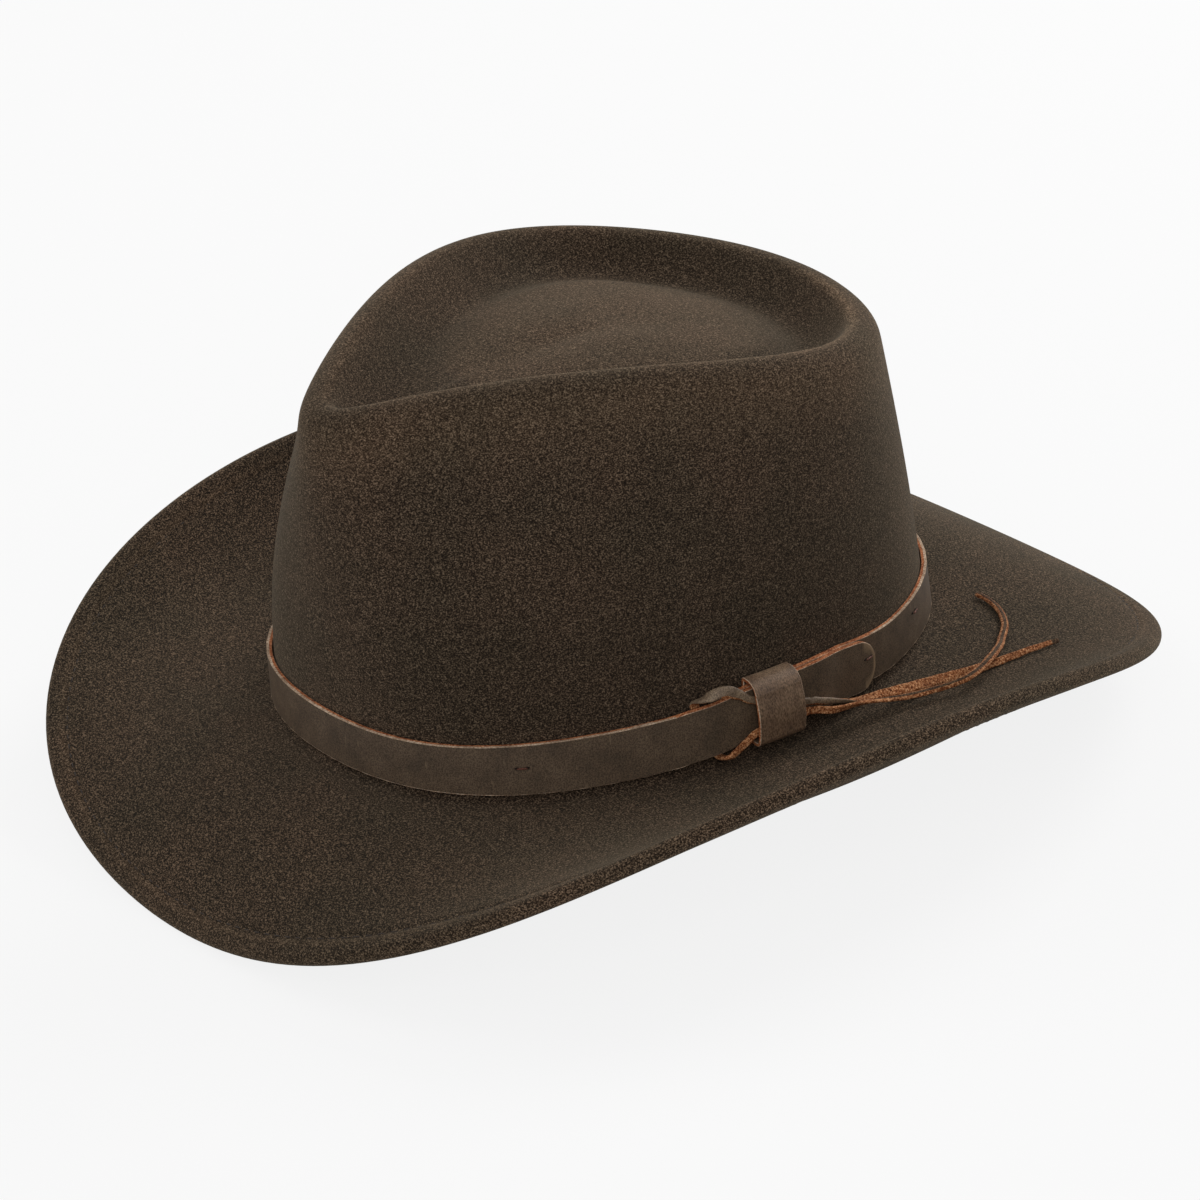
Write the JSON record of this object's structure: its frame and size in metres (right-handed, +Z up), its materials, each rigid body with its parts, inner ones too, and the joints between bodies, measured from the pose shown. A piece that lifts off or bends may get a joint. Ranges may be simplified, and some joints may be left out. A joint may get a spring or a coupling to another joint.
{
  "type": "outback hat",
  "caption": "Crushable wool felt outback hat with a teardrop crown, a shapeable rolled brim, and a leather band with keeper loop and lace.",
  "frame": {"origin": "centre of the head opening, level with the inner edge of the brim", "axes": "+Z up through the crown, -Y toward the front of the hat, +X toward the wearer's left, where the keeper and lace are"},
  "size_m": [0.2916, 0.329, 0.144],
  "materials": {
    "wool_felt": "matt brushed wool felt, dark brown",
    "wire": "drawn spring steel",
    "sweatband": "thin smooth brown leather",
    "ribbon": "narrow ribbed ribbon",
    "band_leather": "oiled brown leather with raw tan cut edges",
    "keeper_leather": "oiled brown leather, slightly greyer",
    "lace_leather": "thin split lace, brown grain side and tan flesh side",
    "thread": "waxed brown thread"
  },
  "bodies": {
    "hat": {"felt_body": "wool_felt", "brim_wire": "wire", "sweatband": "sweatband", "sweatband_reed": "sweatband", "sweatband_bow": "ribbon", "hat_band": "band_leather", "band_tacks": "thread", "lace_loop": "lace_leather", "lace_tail_upper": "lace_leather", "lace_tail_lower": "lace_leather"},
    "keeper": {"band_keeper": "keeper_leather"}
  },
  "joints": [
    {"name": "keeper_slide", "type": "hinge", "parent": "hat", "child": "keeper", "pos_m": [-0.04333, 0.0041, 0.01486], "axis": [0, 0, 1], "range_deg": [-0.8, 1]}
  ]
}
